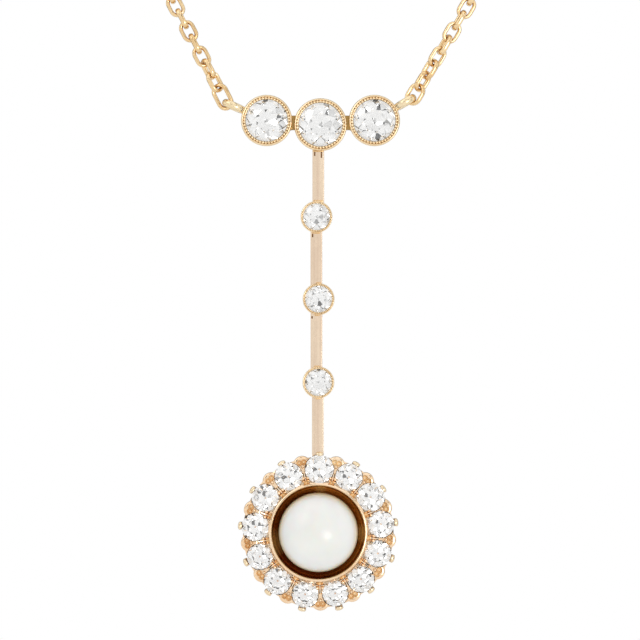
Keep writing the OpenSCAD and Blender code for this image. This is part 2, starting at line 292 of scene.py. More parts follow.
def ramp(tree, driver, stops):
    made = add_node(tree, "ShaderNodeValToRGB", {"Fac": driver})
    elements = made.color_ramp.elements
    while len(elements) < len(stops):
        elements.new(0.5)
    for element, (at, tone) in zip(elements, stops):
        element.position = at
        element.color = (*tone, 1)
    return made.outputs["Color"]


def tones(tree, driver, low, high, span=(0.3, 0.7)):
    return ramp(tree, driver, [(span[0], low), (span[1], high)])


def spread(tree, driver, low, high, to_low=0, to_high=1):
    inputs = {
        "Value": driver, "From Min": low, "From Max": high, "To Min": to_low, "To Max": to_high
    }
    return add_node(tree, "ShaderNodeMapRange", inputs).outputs["Result"]


def levels(tree, driver, low, high):
    return spread(tree, driver, 0.3, 0.7, low, high)


def mixed(tree, a, b):
    both = {"Factor": 1.0, "A": a, "B": b}
    mix = add_node(tree, "ShaderNodeMix", both, data_type="RGBA", blend_type="MULTIPLY")
    return mix.outputs["Result"]


def vector_math(tree, operation, *vectors, output="Value"):
    inputs = dict(enumerate(vectors))
    return add_node(tree, "ShaderNodeVectorMath", inputs, operation=operation).outputs[output]


# %% [markdown]
# Metal gets its look from what it mirrors, so its own pattern is slight: a drift between
# two tones of the alloy, cloudy wear in the polish and fine tool marks. Narrow nooks get
# painted shade: ambient occlusion finds them and the colour goes dark there, and each
# finish says how far it looks, in metres.

# %% Gold
DRIFT, WEAR, MARKS = 420.0, 2600.0, 3800.0
FAINT_MARKS = 0.0000003
NOOK_SHADE_TONE, CLEAR = (0.36, 0.19, 0.07), (1, 1, 1)
NO_NOOK_SHADE, THIN_NOOK_SHADE, FINE_NOOK_SHADE, WIDE_NOOK_SHADE = 0, 0.00009, 0.0002, 0.0004


def tool_marks(tree, place, scale, depth, strength=0.35):
    height = noise(tree, place, scale, detail=2.0)
    inputs = {"Strength": strength, "Distance": depth, "Height": height}
    return add_node(tree, "ShaderNodeBump", inputs).outputs["Normal"]


# Painted shade: the colour goes dark brown where ambient occlusion finds a narrow nook.
def painted_nook_shade(tree, colour, reach):
    closed_in = add_node(tree, "ShaderNodeAmbientOcclusion", {"Distance": reach}, samples=6)
    nook_shade = tones(tree, closed_in.outputs["AO"], NOOK_SHADE_TONE, CLEAR, span=(0.08, 0.42))
    return mixed(tree, colour, nook_shade)


def gold(name, low, high, polish=(0.1, 0.2), marks=0.000003, metal=1.0, nook_shade=FINE_NOOK_SHADE):
    material, tree, shader, place = new_material(name)
    alloy = tones(tree, noise(tree, place, DRIFT), low, high)
    look = {
        "Metallic": metal,
        "Base Color": painted_nook_shade(tree, alloy, nook_shade) if nook_shade else alloy,
        "Roughness": levels(tree, noise(tree, place, WEAR), *polish),
        "Normal": tool_marks(tree, place, MARKS, marks),
    }
    plug(tree, shader, look)
    return material


rose_gold = gold("rose_gold", (0.90, 0.63, 0.39), (0.96, 0.75, 0.53))
warm_gold = gold(
    "warm_gold", (0.87, 0.66, 0.40), (0.95, 0.78, 0.53), polish=(0.16, 0.28), nook_shade=THIN_NOOK_SHADE
)
yellow_gold = gold(
    "yellow_gold", (0.82, 0.56, 0.28), (0.94, 0.73, 0.44),
    polish=(0.14, 0.22), marks=FAINT_MARKS, nook_shade=WIDE_NOOK_SHADE,
)
ring_gold = gold(
    "ring_gold", (0.85, 0.67, 0.39), (0.93, 0.78, 0.53), polish=(0.22, 0.3), marks=FAINT_MARKS
)
claw_gold = gold("claw_gold", (0.85, 0.66, 0.42), (0.94, 0.79, 0.56))
# Painted shade: a darker copy of the plate's gold for the beads that stand in the hoods.
post_shade_gold = gold("post_shade_gold", (0.68, 0.46, 0.27), (0.82, 0.60, 0.40), nook_shade=WIDE_NOOK_SHADE)
# Painted highlight: a lighter copy of the plate's gold for the raised ridges, with no nook shade.
ridge_light_gold = gold("ridge_light_gold", (0.93, 0.70, 0.47), (0.98, 0.82, 0.63), nook_shade=NO_NOOK_SHADE)
# Painted shade: a dark gold for the set-back solder bridges and the collets' inner lips.
bridge_shade_gold = gold("bridge_shade_gold", (0.22, 0.12, 0.035), (0.42, 0.26, 0.09), polish=(0.2, 0.36))
# The solder's own redder colour, made darker as painted shade where strip and collet meet.
lip_solder_and_shade_gold = gold("lip_solder_and_shade_gold", (0.66, 0.41, 0.18), (0.88, 0.63, 0.36), polish=(0.3, 0.42))
HOLLOW = {"polish": (0.28, 0.42), "metal": 0.45, "nook_shade": NO_NOOK_SHADE}
# Painted shade: oranger golds for the inside of the hood holes and the pits.
shaded_gold = gold("shaded_gold", (0.82, 0.54, 0.26), (1.0, 0.84, 0.58), **HOLLOW)
pit_shade_gold = gold("pit_shade_gold", (0.84, 0.56, 0.26), (0.98, 0.76, 0.45), **HOLLOW)
# Painted shade: a dark gold for the faces inside the bar's notches.
notch_shade_gold = gold("notch_shade_gold", (0.28, 0.12, 0.03), (0.42, 0.20, 0.06), **HOLLOW)
print("golds:", [m.name for m in bpy.data.materials])

# %% [markdown]
# The bar is rolled strip. Rolling leaves faint lines along its length, so its two tones
# come from a noise that is drawn out along the strip until it is nothing but stripes.

# %% Rolled strip
LINES, LINE_SQUEEZE = 4200.0, 0.03


def rolled_strip():
    material, tree, shader, place = new_material("pale_gold")
    squeezed = {"Vector": place, "Scale": (1, 1, LINE_SQUEEZE)}
    drawn_out = add_node(tree, "ShaderNodeMapping", squeezed).outputs["Vector"]
    lines = noise(tree, drawn_out, LINES, detail=1.0)
    look = {
        "Metallic": 1.0,
        "Base Color": tones(tree, lines, (0.755, 0.58, 0.435), (0.84, 0.68, 0.51)),
        "Roughness": levels(tree, noise(tree, place, WEAR), 0.2, 0.28),
    }
    plug(tree, shader, look)
    return material


pale_gold = rolled_strip()
print("strip of", pale_gold.name)

# %% [markdown]
# Deep in the pearl's cup the gold is painted dark and red as shade, with lighter and
# darker rings painted as the bright lines and dark bands its deep wall mirrors. The
# rings run round the cup's axis, so their colour is read from the distance to that axis.
# Less metal and more painted shade keeps the hollow brown even where it mirrors the
# pearl. The top and right are painted lighter, as the side the light falls on. Three
# amber painted highlights follow: each has its bearing, how close to it the highlight
# begins, and its strength.

# %% Painted shade and highlights for the cup's hollow
CLUSTER, CUP_RISE = (-0.2, -36.7), 0.06
# Painted rings of shade and reflection, by distance from the cup's axis.
PAINTED_HOLLOW_RINGS = [
    (3.5, (0.80, 0.36, 0.10)),
    (3.66, (0.66, 0.24, 0.03)),
    (3.76, (0.72, 0.24, 0.03)),
    (3.87, (1.0, 0.42, 0.07)),
    (3.98, (1.0, 0.42, 0.07)),
    (4.07, (0.50, 0.15, 0.015)),
    (4.16, (0.50, 0.16, 0.02)),
]
STAIN_CLOUDS, LIT_SIDE = 220.0, (90, 0, 90)
GLINT_AMBER = (1.0, 0.60, 0.16)
PAINTED_GLINTS = [(92, 0.972, 1.0), (256, 0.94, 0.6), (3, 0.988, 0.85)]


# Painted highlight: an amber glint mixed into the colour at one bearing round the hollow.
def painted_glint(tree, under, pointing, bearing, edge, amount):
    toward = math.radians(bearing)
    nearness = vector_math(tree, "DOT_PRODUCT", pointing, (math.sin(toward), 0, math.cos(toward)))
    share = spread(tree, nearness, edge, 1, 0, amount)
    inputs = {"Factor": share, "A": under, "B": (*GLINT_AMBER, 1)}
    return add_node(tree, "ShaderNodeMix", inputs, data_type="RGBA").outputs["Result"]


def painted_hollow_shade():
    material, tree, shader, place = new_material("painted_hollow_shade")
    axis = DROP + Vector((CLUSTER[0], 0, CLUSTER[1] + CUP_RISE)) * MM
    on_axis = {"Vector": place, "Location": (-axis.x, 0, -axis.z), "Scale": (1, 0, 1)}
    centred = add_node(tree, "ShaderNodeMapping", on_axis).outputs["Vector"]
    inner, outer = PAINTED_HOLLOW_RINGS[0][0], PAINTED_HOLLOW_RINGS[-1][0]
    reach = spread(tree, vector_math(tree, "LENGTH", centred), inner * MM, outer * MM)
    rings = ramp(tree, reach, [((r - inner) / (outer - inner), tone) for r, tone in PAINTED_HOLLOW_RINGS])
    cloud = tones(tree, noise(tree, place, STAIN_CLOUDS), (0.8, 0.77, 0.75), CLEAR)
    # Painted light: the hollow is lighter towards the top and right, darker towards the bottom
    # and left.
    toward_lit_side = vector_math(tree, "DOT_PRODUCT", centred, LIT_SIDE)
    lit_side_sum = add_node(tree, "ShaderNodeMath", {0: toward_lit_side, 1: 0.5}, operation="ADD")
    fade, shaded, lit = lit_side_sum.outputs["Value"], (0.42, 0.19, 0.12), (0.97, 0.92, 0.8)
    painted_side_light = tones(tree, fade, shaded, lit, span=(0.14, 0.86))
    pointing = vector_math(tree, "NORMALIZE", centred, output="Vector")
    stain_and_painted_light = mixed(tree, mixed(tree, rings, cloud), painted_side_light)
    for bearing, edge, amount in PAINTED_GLINTS:
        stain_and_painted_light = painted_glint(tree, stain_and_painted_light, pointing, bearing, edge, amount)
    look = {
        "Metallic": 0.35,
        "Base Color": stain_and_painted_light,
        "Roughness": levels(tree, noise(tree, place, WEAR), 0.2, 0.32),
    }
    plug(tree, shader, look)
    return material


hollow_shade_gold = painted_hollow_shade()
print("hollow in", hollow_shade_gold.name, "with", len(PAINTED_GLINTS), "glints")

# %% [markdown]
# Every piece ends the same way: its place goes into its mesh, so that its object stays
# at zero as the solid model's do. It gets its material and smooth shading up to a given
# edge angle. Then it is hung on the root body, and the solid nodes it stands for are hidden.

# %% Set a finished piece in its place
MOUNT = ("rose_gold", ["gold_mount"])


def finish(piece, materials, slot, nodes, place=HANG, smooth=40):
    piece.matrix_world = place @ piece.matrix_world
    fix_place(piece)
    for material in materials:
        if material.name not in piece.data.materials:
            piece.data.materials.append(material)
    bpy.ops.object.shade_smooth_by_angle(angle=math.radians(smooth))
    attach(piece, "root")
    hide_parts(*nodes)
    print(piece.name, len(piece.data.polygons), "faces")
    return piece


# %% [markdown]
# A collet is a cup of gold whose rim is pressed over the edge of its stone. From the
# front it shows a smooth outer border and, inside it, a ring of tiny raised beads that a
# knurled wheel leaves. Next to the stone is a thin lip in its own shadow, so its faces
# take the dark gold. Turning the wall from its profile gives the true section.

# %% Collet walls
ROOM, EDGE, INNER_LIP = 0.05, 0.03, 0.16


def collet_wall(name, d, rim, cover, front, back, back_share):
    r, lip_r = d / 2, d / 2 - rim
    room_r = lip_r + cover + ROOM
    edge = EDGE * (lip_r + cover) + ROOM
    thick = r - lip_r
    profile = [
        (lip_r, edge + cover),
        (lip_r + INNER_LIP * thick, front - 0.38 * thick),
        (lip_r + 0.54 * thick, front - 0.3 * thick),
        (lip_r + 0.64 * thick, front - 0.02 * thick),
        (r - 0.16 * thick, front),
        (r, front - 0.35 * thick),
        (r, -0.1 * r),
        (back_share * r, back),
        (back_share * r - 0.26, back),
        (0.8 * room_r, -edge - 0.2 * room_r),
        (room_r, -edge),
        (room_r, edge),
    ]

    def on_inner_lip(at, facing):
        return at.xy.length < lip_r + INNER_LIP * thick and edge < at.z < front - 0.36 * thick

    wall = soften(turned(name, profile), 0.14 * thick, angle=28)
    return two_toned(wall, warm_gold, bridge_shade_gold, on_inner_lip)


# %% [markdown]
# One bead copied round the rim gives the grain, so the light breaks on it as on real
# beads. A bead is a small ball, pressed a little flat. How many fit in follows from the
# rim's length, and they sit just not touching.

# %% Beads and whole collets
BEAD_SHARE, BEAD_FLAT, BEAD_IN, BEAD_DOWN, BEAD_STEP = 0.3, 0.8, 0.33, 0.26, 2.05


def bead(r):
    put_away()
    bpy.ops.mesh.primitive_uv_sphere_add(segments=10, ring_count=6, radius=r)
    open_mesh()
    resize(1, 1, BEAD_FLAT)
    return painted(close_mesh(), warm_gold)


def beaded_rim(lip_r, thick, front):
    bead_r = BEAD_SHARE * thick
    ring_r = lip_r + BEAD_IN * thick
    count = round(math.tau * ring_r / (BEAD_STEP * bead_r))
    first = bead(bead_r)
    at_rim = moved(ring_r, 0, front)
    turns = [Matrix.Rotation(math.tau * i / count, 4, "Z") for i in range(count)]
    beads = [copy_of(first, turn @ at_rim) for turn in turns]
    bpy.data.objects.remove(first)
    return beads


def collet(name, x, y, d, rim, cover, front, back, back_share):
    wall = collet_wall(name, d, rim, cover, front, back, back_share)
    beads = beaded_rim(d / 2 - rim, rim, front - BEAD_DOWN * rim)
    piece = join([wall] + beads, name)
    piece.matrix_world = moved(x, y)
    return finish(piece, [warm_gold], *MOUNT)


MID_D, SIDE_D, ROW_PITCH, ROW_RISE = 4.74, 4.6, 4.85, 0.37
ROW_FORM = {"rim": 0.44, "cover": 0.04, "front": 0.34, "back": -1.9, "back_share": 0.56}
collet("collet_middle", 0, 0, MID_D, **ROW_FORM)
collet("collet_left", -ROW_PITCH, ROW_RISE, SIDE_D, **ROW_FORM)
collet("collet_right", ROW_PITCH, ROW_RISE, SIDE_D, **ROW_FORM)

SMALL_D = 2.86
SMALL_FORM = {"rim": 0.25, "cover": 0.03, "front": 0.22, "back": -1.3, "back_share": 0.6}
SMALL_PLACES = [(-0.36, -8.3), (-0.17, -15.7), (-0.19, -23.2)]
for number, (x, y) in enumerate(SMALL_PLACES, 1):
    collet(f"small_collet_{number}", x, y, SMALL_D, **SMALL_FORM)

# %% [markdown]
# Between the three collets of the row sits a little bridge of solder, set back and
# painted darker than the polish round it, as the shade it stands in. A cube pinched at
# its waist has that shape.

# %% Solder bridges
BRIDGE_SIZE, BRIDGE_WAIST, WAIST_HALF, BRIDGE_H = (0.9, 1.62, 0.75), (1, 0.8, 0.85), 0.3, -0.5


def solder_bridge(name, side):
    put_away()
    bpy.ops.mesh.primitive_cube_add(size=1)
    open_mesh()
    resize(*BRIDGE_SIZE)
    bpy.ops.mesh.subdivide(number_cuts=3)
    pick_faces(lambda at, facing: abs(at.x) < WAIST_HALF)
    resize(*BRIDGE_WAIST)
    bridge = soften(close_mesh(), 0.06)
    bridge.name = name
    bridge.matrix_world = moved(side * ROW_PITCH / 2, ROW_RISE / 2, BRIDGE_H)
    return finish(bridge, [bridge_shade_gold], *MOUNT)


solder_bridge("solder_bridge_left", LEFT)
solder_bridge("solder_bridge_right", RIGHT)

# %% [markdown]
# The end rings that take the chain are stout wire rings, seen edge on from the front.
# A torus is the right start, and it is drawn a little wider along its axis, as hammered
# wire is. Each ring sinks a little into its collet, where it is soldered.

# %% End rings
END_RING_R, END_RING_WIRE, RING_WIDER, RING_SINK = 0.8, 0.62, 1.12, 0.18
RING_SLOPE = {LEFT: 23.6, RIGHT: 30.6}
RING_REACH = SIDE_D / 2 - RING_SINK + END_RING_WIRE / 2 + 2 * END_RING_R


def wire_ring(r, wire, major, minor):
    put_away()
    bpy.ops.mesh.primitive_torus_add(
        major_radius=r, minor_radius=wire / 2, major_segments=major, minor_segments=minor
    )
    return bpy.context.object


def end_ring(name, side):
    wire_ring(END_RING_R, END_RING_WIRE, 48, 16)
    open_mesh()
    resize(1, 1, RING_WIDER)
    ring = close_mesh()
    ring.name = name
    slope = 180 - RING_SLOPE[LEFT] if side == LEFT else RING_SLOPE[RIGHT]
    at_collet = moved(side * ROW_PITCH, ROW_RISE) @ turned_by("Z", slope)
    ring.matrix_world = at_collet @ moved(RING_REACH - END_RING_R, 0) @ turned_by("X", 90)
    return finish(ring, [ring_gold], *MOUNT)


end_ring("end_ring_left", LEFT)
end_ring("end_ring_right", RIGHT)

# %% [markdown]
# The bar is a slim strip in four stretches between the small collets, each a little out
# of line with the next, as hand-soldered work is. Its face has a low ridge. Insetting
# the front face of a long box and lifting what is inside gives exactly that roof shape.
# Small notches below the upper joints are cut in by a boolean, and their faces take a
# dark gold painted as the shade of the collet above.

# %% The bar
BAR_W, BAR_T, BAR_RIDGE, RIDGE_INSET = 1.06, 0.72, 0.02, 0.34
SHIFTS = [-0.20, -0.37, -0.36, -0.24]
BITE, HEAD_TOP = 0.2, -29.72
tops = [-MID_D / 2 + BITE] + [y - SMALL_D / 2 + BITE for _, y in SMALL_PLACES]
lows = [y + SMALL_D / 2 - BITE for _, y in SMALL_PLACES] + [HEAD_TOP]
NOTCH_W, NOTCH_DEEP, LIP_OUT = 0.13, 0.3, 0.1
NOTCHES = [[(-0.32, 0.34), (0.28, 0.52)], [(-0.34, 0.3)], [(-0.4, 0.22)], []]


def cut_away(piece, cutters):
    take(piece)
    cut = piece.modifiers.new("Cut", "BOOLEAN")
    cut.operation = "DIFFERENCE"
    cut.object = cutters
    cut.solver = "EXACT"
    cut.use_self = True
    cut.material_mode = "TRANSFER"
    bpy.ops.object.modifier_apply(modifier=cut.name)
    bpy.data.objects.remove(cutters)


def bar_stretch(name, x, top, low, marks):
    flat_t = BAR_T - BAR_RIDGE
    stretch = box(name, (BAR_W, top - low, flat_t), (x, (top + low) / 2, -flat_t / 2))
    take(stretch)
    open_mesh()
    pick_faces(faces_front)
    bpy.ops.mesh.inset(thickness=RIDGE_INSET * BAR_W, depth=BAR_RIDGE)
    painted(soften(close_mesh(), 0.06, segments=3, angle=30), pale_gold)
    for off, length in marks:
        middle = (x + off, top - BITE - LIP_OUT - length / 2, 0)
        notch = box("notch", (NOTCH_W, length, NOTCH_DEEP), middle)
        cut_away(stretch, painted(notch, notch_shade_gold))
    return finish(stretch, [pale_gold], *MOUNT, smooth=10)


for number, (x, top, low, marks) in enumerate(zip(SHIFTS, tops, lows, NOTCHES), 1):
    bar_stretch(f"bar_stretch_{number}", x, top, low, marks)

# %% [markdown]
# Where the strip meets a collet a little solder has run out and stands as a small lip,
# of another width at each joint. It is redder and darker than the strip: partly the
# solder's own colour and partly painted shade where strip and collet meet. Each is a
# softened block, half sunk into the collet's wall.

# %% Solder lips
LIP_IN, LIP_T, LIP_FRONT, LIP_ROUND = 0.18, 0.6, 0.05, 0.07
LIPS_UNDER = [(0, 0.96), (-0.04, 0.72), (0.06, 0.5), (0.02, 0.56)]
LIPS_ABOVE = [(0, 0.9), (0.18, 0.5), (0.06, 0.6)]


def lip(x, edge_y, out, shift, width):
    middle = (x + shift, edge_y + out * (LIP_OUT - LIP_IN) / 2, LIP_FRONT - LIP_T / 2)
    return soften(box("lip", (width, LIP_OUT + LIP_IN, LIP_T), middle), LIP_ROUND, segments=3)


lips = [lip(x, top - BITE, -1, *form) for x, top, form in zip(SHIFTS, tops, LIPS_UNDER)]
lips += [lip(x, low + BITE, 1, *form) for x, low, form in zip(SHIFTS, lows, LIPS_ABOVE)]
finish(join(lips, "solder_lips"), [lip_solder_and_shade_gold], *MOUNT)

# %% [markdown]
# The head of the drop carries a pearl in a deep cup with a smooth collar, and thirteen
# stones let into a plate round it. The cup is turned in one piece. Its hollow is painted
# dark as shade, so the faces inside it take a second, browner gold.

# %% Cup and collar
AT_CLUSTER = moved(*CLUSTER)
AT_CUP = AT_CLUSTER @ moved(0, CUP_RISE)
COLLAR_R, WELL_R, COLLAR_FRONT, WELL_FLOOR, CUP_BACK, HOLE_R = 4.78, 4.16, 1.0, -2.75, -3.1, 0.3


def in_the_shaded_hollow(at, facing):
    inside = at.xy.length < WELL_R + 0.01 and WELL_FLOOR - 0.05 < at.z < COLLAR_FRONT - 0.2
    return inside and facing.dot(Vector((*at.xy, -1.5))) < 0


def pearl_cup():
    profile = [
        (WELL_R, 0.3),
        (WELL_R, COLLAR_FRONT - 0.12),
        (WELL_R + 0.05, COLLAR_FRONT - 0.02),
        (WELL_R + 0.13, COLLAR_FRONT),
        (WELL_R + 0.25, COLLAR_FRONT - 0.06),
        (COLLAR_R - 0.2, COLLAR_FRONT - 0.3),
        (COLLAR_R, 0.26),
        (COLLAR_R, -0.5),
        (4.0, -1.6),
        (3.0, CUP_BACK),
        (HOLE_R, CUP_BACK),
        (HOLE_R, WELL_FLOOR),
        (2.5, WELL_FLOOR),
        (3.4, -1.5),
        (3.68, -0.75),
        (3.84, -0.6),
        (3.9, -0.3),
        (4.08, -0.1),
    ]
    cup = soften(turned("pearl_cup", profile, sides=128), 0.04, angle=20)
    cup = two_toned(cup, rose_gold, hollow_shade_gold, in_the_shaded_hollow)
    cup.matrix_world = AT_CUP
    return fix_place(cup)


cup = pearl_cup()
print("the turned cup has", len(cup.data.polygons), "faces")

# %% [markdown]
# Round the collar lies the plate that holds the small stones. They are set by hand, so
# each has its own bearing, size and slight lean. Bearings run clockwise from the top.

# %% Where the ring stones sit
RING_ANGLES = [1, 29, 56, 82.5, 109.5, 137.5, 164.5, 192, 220, 247.5, 275, 303, 332]
RING_SIZES = [1.03, 0.97, 1.02, 0.96, 0.96, 0.96, 0.93, 0.95, 0.98, 0.93, 1.0, 0.98, 1.0]
STONE_RING_R, RING_STONE_R, RING_STONE_H, STONE_LEAN = 5.7, 1.25, 0.1, 8
next_angles = RING_ANGLES[1:] + [RING_ANGLES[0] + 360]
GAP_ANGLES = [(a + b) / 2 for a, b in zip(RING_ANGLES, next_angles)]


def at_ring(angle):
    return AT_CLUSTER @ turned_by("Z", -angle)


def at_seat(angle):
    return at_ring(angle) @ moved(0, STONE_RING_R, RING_STONE_H) @ turned_by("X", -STONE_LEAN)


print("gaps between the stones at", GAP_ANGLES)

# %% [markdown]
# Between two stones the plate rises into a little rounded hood, and a thin ridge runs
# in from it towards the collar. A hood is a short cylinder whose top is inset twice and
# lifted, and a ridge is a box whose top is inset and lifted. At the top, a tongue
# reaches under the bar.

# %% Hoods, ridges and the tongue
HOOD_R, HOOD_T, HOOD_OUT, HOOD_H = 0.8, 1.0, 6.24, -0.42
HOOD_STEPS = [(0.1, 0.08), (0.12, 0.02)]
RIDGE_SIZE, RIDGE_PLACE, RIDGE_RISE = (0.24, 1.7, 0.8), (0, 5.5, -0.35), 0.08
TONGUE_L, TONGUE_T, TONGUE_OUT, TONGUE_H = 0.9, 0.6, 6.75, -0.32


def hood():
    put_away()
    bpy.ops.mesh.primitive_cylinder_add(
        vertices=32, radius=HOOD_R, depth=HOOD_T, location=(0, HOOD_OUT, HOOD_H)
    )
    open_mesh()
    pick_faces(faces_front)
    for inward, lift in HOOD_STEPS:
        bpy.ops.mesh.inset(thickness=inward, depth=lift)
    return painted(fix_place(soften(close_mesh(), 0.05)), rose_gold)


def ridge():
    take(painted(box("ridge", RIDGE_SIZE, RIDGE_PLACE), ridge_light_gold))
    open_mesh()
    pick_faces(faces_front)
    bpy.ops.mesh.inset(thickness=RIDGE_RISE, depth=RIDGE_RISE)
    return close_mesh()


def tongue():
    size = (BAR_W - 0.06, TONGUE_L, TONGUE_T)
    plate = box("tongue", size, (SHIFTS[-1] - CLUSTER[0], TONGUE_OUT, TONGUE_H))
    plate.matrix_world = AT_CLUSTER
    return painted(plate, rose_gold)


# %% [markdown]
# The jeweller drills a seat for each stone, two small holes in each hood and a
# three-sided pit by the collar. One cutter of each kind is drawn up and copied round.
# A boolean takes them all away from the plate and the cup, and the cut faces keep the
# cutter's own gold; in the holes and pits that gold is painted darker and oranger as shade.

# %% Seats, holes and pits
DRILL_STEP = 0.21
STONE_ROOM_R = RING_STONE_R + ROOM
SEAT = [(0, -1.25, 0.75), (0, -0.68, 0.75), (0, -EDGE * RING_STONE_R - ROOM, STONE_ROOM_R)]
SEAT.append((0, 1.2, STONE_ROOM_R))
PIT = [(4.62, 1.3, 0.38), (4.62, 0.6, 0.36), (4.62, 0.3, 0.14)]
DRILL = [(6.46, 0.5, 0.29), (6.46, -0.02, 0.26), (6.44, -0.3, 0.1)]


def seat_cutters():
    seat = painted(drawn_post("seat", SEAT, sides=32), rose_gold)
    pit = painted(drawn_post("pit", PIT, sides=3), pit_shade_gold)
    drill = painted(drawn_post("drill", DRILL, sides=14), shaded_gold)
    cutters = [
        copy_of(seat, at_seat(angle) @ Matrix.Scale(size, 4))
        for angle, size in zip(RING_ANGLES, RING_SIZES)
    ]
    for angle in GAP_ANGLES:
        cutters.append(copy_of(pit, at_ring(angle)))
        for side in (LEFT, RIGHT):
            cutters.append(copy_of(drill, at_ring(angle) @ moved(side * DRILL_STEP, 0)))
    for pattern in (seat, pit, drill):
        bpy.data.objects.remove(pattern)
    return fix_place(join(cutters, "cutters"))


# %% [markdown]
# The plate itself is turned. The hoods, the ridges and the tongue are joined to it, and
# then the cutters do their work, on a copy for the cup and on themselves for the plate.

# %% Plate
PLATE = [(4.4, -0.9), (6.4, -0.9), (6.78, -0.5), (6.78, -0.1), (6.6, 0.02), (4.4, 0.02)]


def seat_plate():
    plate = painted(turned("seat_plate", PLATE, sides=128), rose_gold)
    plate.matrix_world = AT_CLUSTER
    first_hood, first_ridge = hood(), ridge()
    parts = [plate, tongue()]
    for angle in GAP_ANGLES:
        parts.append(copy_of(first_hood, at_ring(angle)))
        parts.append(copy_of(first_ridge, at_ring(angle)))
    bpy.data.objects.remove(first_hood)
    bpy.data.objects.remove(first_ridge)
    plate = fix_place(join(parts, "seat_plate"))
    cutters = seat_cutters()
    cut_away(cup, copy_of(cutters, Matrix.Identity(4)))
    cut_away(plate, cutters)
    finish(cup, [], *MOUNT)
    return finish(plate, [], *MOUNT)


seat_plate()

# %% [markdown]
# A claw rises from a plain ring at the back, leans out along the stone and folds over
# its edge. It is drawn up as a round post and then pressed flat and wide, as pliers
# would, so its foot is drawn further in than it ends up.

# %% Claws
FOOT_R, FOOT_H = 5.5, -2.5
CLAW_R, CLAW_WIDE, CLAW_THIN = 7.06, 1.3, 0.6


def copied_round(first, angles, name, material):
    copies = [copy_of(first, at_ring(angle)) for angle in angles]
    bpy.data.objects.remove(first)
    return finish(join(copies, name), [material], *MOUNT, smooth=60)


def before_pressing(out):
    return CLAW_R - (CLAW_R - out) / CLAW_THIN


CLAW = [
    (before_pressing(FOOT_R), FOOT_H - 0.2, 0.22),
    (before_pressing(FOOT_R + 0.85), -1.1, 0.24),
    (CLAW_R, -0.1, 0.28),
    (CLAW_R + 0.04, 0.16, 0.29),
    (CLAW_R + 0.01, 0.34, 0.27),
    (CLAW_R - 0.06, 0.44, 0.2),
    (CLAW_R - 0.1, 0.48, 0.08),
]
take(drawn_post("claw", CLAW, sides=16))
open_mesh()
resize(CLAW_WIDE, CLAW_THIN, 1, about=(0, CLAW_R, 0))
copied_round(close_mesh(), RING_ANGLES, "claws", claw_gold)

# %% [markdown]
# One bead stands in each hood, before its two holes, and two smaller grains stand by
# the collar in each gap. Each kind is drawn up once and copied round. The foot ring
# that carries the claws is turned.

# %% Beads, grains and the foot ring
GRAIN = [(5.0, -0.6, 0.18), (5.0, 0.12, 0.18), (5.01, 0.25, 0.14), (5.02, 0.3, 0.05)]
BEAD_POST = [(6.1, -0.6, 0.2), (6.1, 0.12, 0.2), (6.1, 0.26, 0.15), (6.1, 0.31, 0.05)]
GRAIN_TURN = 2.7
FOOT_W, FOOT_T = 0.6, 0.55

# The beads in the hoods take a darker gold, painted as the shade of the hood round them.
copied_round(drawn_post("bead_post", BEAD_POST), GAP_ANGLES, "bead_posts", post_shade_gold)
grain_angles = [angle + turn for angle in GAP_ANGLES for turn in (-GRAIN_TURN, GRAIN_TURN)]
copied_round(drawn_post("grain", GRAIN, sides=10), grain_angles, "grains", rose_gold)

corners = [(-1, -1), (1, -1), (1, 1), (-1, 1)]
foot_profile = [(FOOT_R + a * FOOT_W / 2, FOOT_H + b * FOOT_T / 2) for a, b in corners]
foot = soften(turned("foot_ring", foot_profile), 0.08)
foot.matrix_world = AT_CLUSTER
finish(foot, [rose_gold], *MOUNT)

# %% [markdown]
# The stones are old round cuts: small table, high crown, deep back and a blunt tip.
# A lapidary grinds flat planes into a round blank, and bisect does the same here. Each
# facet is one plane that throws away what is outside it. The blank is cut once, and
# every other stone is a copy of it, made larger or smaller and turned its own way.

# %% Cut the stone
TABLE, STAR, LOWER, CULET = 0.54, 0.77, 0.5, 0.08
CROWN_H, PAVILION_H = 0.36, 0.79
HALF_TURN = math.radians(22.5)


def cut_plane(turn, tilt, through_r, through_h):
    across = Vector((math.cos(turn), math.sin(turn), 0))
    normal = math.sin(tilt) * across + Vector((0, 0, math.cos(tilt)))
    point = through_r * across + Vector((0, 0, through_h))
    bpy.ops.mesh.select_all(action="SELECT")
    bpy.ops.mesh.bisect(
        plane_co=point, plane_no=normal, use_fill=True, clear_outer=True, threshold=0.00002
    )


def slope(r1, h1, r2, h2):
    return math.atan2(h2 - h1, r1 - r2)


def old_cut():
    put_away()
    bpy.ops.mesh.primitive_cylinder_add(vertices=64, radius=1, depth=2)
    open_mesh()
    flat, half_flat = math.cos(HALF_TURN), math.cos(HALF_TURN / 2)
    front, back = EDGE + CROWN_H, EDGE + PAVILION_H
    star_h = EDGE + CROWN_H * (1 - STAR * flat) / (1 - TABLE)
    low_h = EDGE + PAVILION_H * (1 - LOWER * flat) / (1 - CULET * flat)
    main = slope(1, EDGE, TABLE, front)
    under = slope(1, EDGE, CULET * flat, back)
    star = slope(STAR, star_h, TABLE * flat, front)
    upper_half = slope(half_flat, EDGE, STAR * half_flat, star_h)
    lower_half = slope(half_flat, EDGE, LOWER * half_flat, low_h)
    cut_plane(0, 0, 0, front)
    cut_plane(0, math.pi, 0, -back)
    for i in range(8):
        turn = i * 2 * HALF_TURN
        cut_plane(turn, main, 1, EDGE)
        cut_plane(turn, math.pi - under, 1, -EDGE)
        cut_plane(turn + HALF_TURN, star, STAR, star_h)
    for i in range(16):
        turn = (i + 0.5) * HALF_TURN
        cut_plane(turn, upper_half, half_flat, EDGE)
        cut_plane(turn, math.pi - lower_half, half_flat, -EDGE)
    stone = close_mesh()
    stone.name = "old_cut"
    return stone


